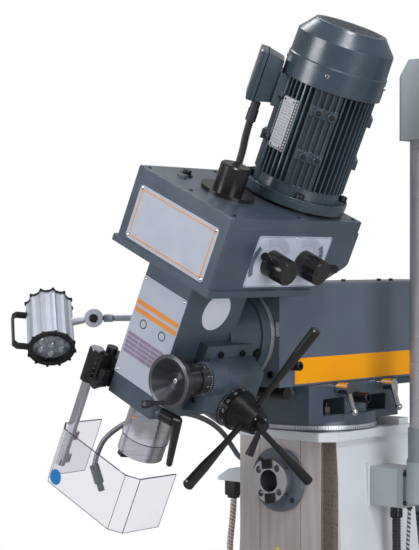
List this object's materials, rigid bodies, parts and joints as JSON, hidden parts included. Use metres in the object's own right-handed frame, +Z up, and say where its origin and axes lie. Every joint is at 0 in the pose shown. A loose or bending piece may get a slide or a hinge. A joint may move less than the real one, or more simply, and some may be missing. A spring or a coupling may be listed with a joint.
{
  "type": "universal milling machine",
  "caption": "Knee-type universal milling machine with a horizontal spindle in the column and a tilting vertical head on a swivelling ram, with guard, lamp and readout.",
  "frame": {"origin": "on the floor, straight below the turret's swivel axis", "axes": "+X to the operator's right along the table, +Y from the operator to the machine's back, +Z up"},
  "size_m": [1.3683, 1.2613, 2.0858],
  "materials": {
    "enamel": "semi-gloss enamel",
    "column_paint": "semi-gloss enamel",
    "die_cast": "satin powder coat",
    "ground_iron": "ground",
    "bright_steel": "ground",
    "chromed": "polished",
    "black_plastic": "moulded",
    "black_rubber": "matt",
    "blackened_metal": "blackened, satin",
    "grey_hose": "ribbed",
    "brass": "satin",
    "clear_screen": "clear polycarbonate",
    "lamp_metal": "satin anodised",
    "lamp_glass": "dark lens",
    "panel_plastic": "textured"
  },
  "bodies": {
    "column": {"base": "column_paint", "column": "column_paint", "bearing_cap": "bright_steel", "horizontal_bearings": "bright_steel", "horizontal_motor": "enamel", "post_bracket": "column_paint", "post_foot": "die_cast", "readout_post": "die_cast", "foot_conduit": "black_rubber", "foot_cable": "grey_hose", "side_hose": "grey_hose"},
    "horizontal_spindle": {"horizontal_spindle": "bright_steel", "horizontal_keys": "bright_steel"},
    "readout": {"readout_arm": "die_cast", "readout_panel": "panel_plastic"},
    "knee": {"knee": "enamel"},
    "elevating_screw": {"elevating_screw": "bright_steel"},
    "knee_crank": {"knee_crank": "chromed"},
    "saddle": {"saddle": "enamel"},
    "cross_handwheel": {"cross_handwheel": "chromed"},
    "table": {"table": "ground_iron"},
    "table_feed": {"table_screw": "bright_steel", "table_handwheels": "chromed"},
    "turret": {"turret": "enamel", "turret_bolts": "bright_steel", "coolant_valve": "brass", "coolant_hose": "grey_hose"},
    "clamp_lever_front": {"clamp_lever_front": "chromed"},
    "clamp_lever_rear": {"clamp_lever_rear": "chromed"},
    "ram_pinion": {"ram_pinion": "black_plastic"},
    "ram": {"ram": "enamel", "ram_rack": "bright_steel"},
    "tilt_worm": {"tilt_worm": "bright_steel"},
    "head": {"head_casting": "enamel", "gearbox_housing": "enamel", "gearbox_cover": "enamel", "drawbar_cap": "black_plastic", "motor_frame": "enamel", "fan_cover": "enamel", "terminal_box": "enamel", "motor_conduit": "black_rubber", "guard_bracket": "black_plastic"},
    "motor_rotor": {"motor_rotor": "bright_steel"},
    "drive_sleeve": {"drive_sleeve": "bright_steel"},
    "quill": {"quill": "bright_steel", "quill_bearings": "bright_steel"},
    "spindle": {"spindle": "bright_steel", "spindle_keys": "bright_steel"},
    "capstan": {"capstan_hub": "blackened_metal", "capstan_handles": "black_plastic"},
    "fine_feed_wheel": {"fine_feed_wheel": "blackened_metal"},
    "quill_lock_lever": {"quill_lock_lever": "black_plastic"},
    "speed_knob_front": {"speed_knob_front": "black_plastic"},
    "speed_knob_rear": {"speed_knob_rear": "black_plastic"},
    "guard": {"guard_rod": "bright_steel", "guard_screen": "clear_screen"},
    "lamp_arm": {"lamp_arm": "bright_steel"},
    "lamp": {"lamp_housing": "lamp_metal", "lamp_cage": "black_plastic", "lamp_lens": "lamp_glass"}
  },
  "joints": [
    {"name": "horizontal_spin", "type": "hinge", "parent": "column", "child": "horizontal_spindle", "pos_m": [0, -0.15, 1.19], "axis": [0, -1, 0], "continuous": true},
    {"name": "readout_swivel", "type": "hinge", "parent": "column", "child": "readout", "pos_m": [0.24, 0.032, 1.867], "axis": [0, 0, 1], "range_deg": [-45, 90]},
    {"name": "knee_lift", "type": "slide", "parent": "column", "child": "knee", "axis": [0, 0, 1], "range_m": [-0.15, 0.18]},
    {"name": "elevating_screw_turn", "type": "hinge", "parent": "knee", "child": "elevating_screw", "pos_m": [0, -0.33, 0.69], "axis": [0, 0, 1], "range_deg": [-10810, 12970]},
    {"name": "knee_crank_turn", "type": "hinge", "parent": "knee", "child": "knee_crank", "pos_m": [0.108, -0.64, 0.52], "axis": [0, -1, 0], "range_deg": [-10810, 12970]},
    {"name": "cross_slide", "type": "slide", "parent": "knee", "child": "saddle", "axis": [0, 1, 0], "range_m": [-0.1, 0.1]},
    {"name": "cross_handwheel_turn", "type": "hinge", "parent": "knee", "child": "cross_handwheel", "pos_m": [-0.072, -0.64, 0.648], "axis": [0, -1, 0], "range_deg": [-7210, 7210]},
    {"name": "table_slide", "type": "slide", "parent": "saddle", "child": "table", "axis": [1, 0, 0], "range_m": [-0.2, 0.2]},
    {"name": "table_feed_turn", "type": "hinge", "parent": "table", "child": "table_feed", "pos_m": [0, -0.414, 0.824], "axis": [1, 0, 0], "range_deg": [-14410, 14410]},
    {"name": "turret_swivel", "type": "hinge", "parent": "column", "child": "turret", "pos_m": [0, 0, 1.29], "axis": [0, 0, -1], "range_deg": [-28, 28]},
    {"name": "clamp_lever_front_turn", "type": "hinge", "parent": "turret", "child": "clamp_lever_front", "pos_m": [0.115, -0.08, 1.378], "axis": [1, 0, 0], "range_deg": [-35, 22]},
    {"name": "clamp_lever_rear_turn", "type": "hinge", "parent": "turret", "child": "clamp_lever_rear", "pos_m": [0.115, 0.072, 1.378], "axis": [1, 0, 0], "range_deg": [-35, 35]},
    {"name": "ram_slide", "type": "slide", "parent": "turret", "child": "ram", "axis": [0, -1, 0], "range_m": [-0.02, 0.25]},
    {"name": "ram_pinion_turn", "type": "hinge", "parent": "turret", "child": "ram_pinion", "pos_m": [0, -0.018, 1.356], "axis": [1, 0, 0], "range_deg": [-50, 600]},
    {"name": "head_tilt", "type": "hinge", "parent": "ram", "child": "head", "pos_m": [0, -0.245, 1.488], "axis": [0, 1, 0], "range_deg": [-69.3, 20.7]},
    {"name": "tilt_worm_turn", "type": "hinge", "parent": "ram", "child": "tilt_worm", "pos_m": [0.105, -0.212, 1.428], "axis": [1, 0, 0], "range_deg": [-2085, 625]},
    {"name": "motor_spin", "type": "hinge", "parent": "head", "child": "motor_rotor", "pos_m": [0.01367, -0.24366, 1.48183], "axis": [0.4115, 0, 0.9114], "continuous": true},
    {"name": "drive_sleeve_spin", "type": "hinge", "parent": "head", "child": "drive_sleeve", "pos_m": [0, -0.414, 1.488], "axis": [0.4115, 0, 0.9114], "continuous": true},
    {"name": "quill_feed", "type": "slide", "parent": "head", "child": "quill", "axis": [0.4115, 0, 0.9114], "range_m": [-0.12, 0]},
    {"name": "spindle_spin", "type": "hinge", "parent": "quill", "child": "spindle", "pos_m": [0, -0.414, 1.488], "axis": [0.4115, 0, 0.9114], "continuous": true},
    {"name": "capstan_turn", "type": "hinge", "parent": "head", "child": "capstan", "pos_m": [0.08006, -0.354, 1.35914], "axis": [0.9114, 0, -0.4115], "range_deg": [0, 276]},
    {"name": "fine_feed_turn", "type": "hinge", "parent": "head", "child": "fine_feed_wheel", "pos_m": [0.08079, -0.44, 1.41421], "axis": [0, -1, 0], "continuous": true},
    {"name": "quill_lock_turn", "type": "hinge", "parent": "head", "child": "quill_lock_lever", "pos_m": [0.00457, -0.473, 1.34988], "axis": [0.8761, 0.2756, -0.3956], "range_deg": [-60, 15]},
    {"name": "speed_knob_front_turn", "type": "hinge", "parent": "head", "child": "speed_knob_front", "pos_m": [0.19952, -0.388, 1.62613], "axis": [0.9114, 0, -0.4115], "range_deg": [-60, 60]},
    {"name": "speed_knob_rear_turn", "type": "hinge", "parent": "head", "child": "speed_knob_rear", "pos_m": [0.19952, -0.295, 1.62613], "axis": [0.9114, 0, -0.4115], "range_deg": [-60, 60]},
    {"name": "guard_swing", "type": "hinge", "parent": "head", "child": "guard", "pos_m": [-0.11721, -0.512, 1.46412], "axis": [-0.4115, 0, -0.9114], "range_deg": [0, 110]},
    {"name": "lamp_arm_swing", "type": "hinge", "parent": "head", "child": "lamp_arm", "pos_m": [-0.112, -0.306, 1.517], "axis": [0, 0, 1], "range_deg": [-35, 15]},
    {"name": "lamp_tilt", "type": "hinge", "parent": "lamp_arm", "child": "lamp", "pos_m": [-0.225, -0.417, 1.517], "axis": [0.6649, -0.7469, 0], "range_deg": [-40, 40]}
  ],
  "couplings": [
    {"joint": "knee_crank_turn", "follows": "knee_lift", "rad_per_m": 1256.6},
    {"joint": "elevating_screw_turn", "follows": "knee_lift", "rad_per_m": 1256.6},
    {"joint": "cross_handwheel_turn", "follows": "cross_slide", "rad_per_m": 1256.6},
    {"joint": "table_feed_turn", "follows": "table_slide", "rad_per_m": 1256.6},
    {"joint": "ram_pinion_turn", "follows": "ram_slide", "rad_per_m": 41.667},
    {"joint": "tilt_worm_turn", "follows": "head_tilt", "ratio": 30},
    {"joint": "drive_sleeve_spin", "follows": "motor_spin", "ratio": -0.78125},
    {"joint": "spindle_spin", "follows": "motor_spin", "ratio": -0.78125},
    {"joint": "capstan_turn", "follows": "quill_feed", "rad_per_m": -40}
  ]
}
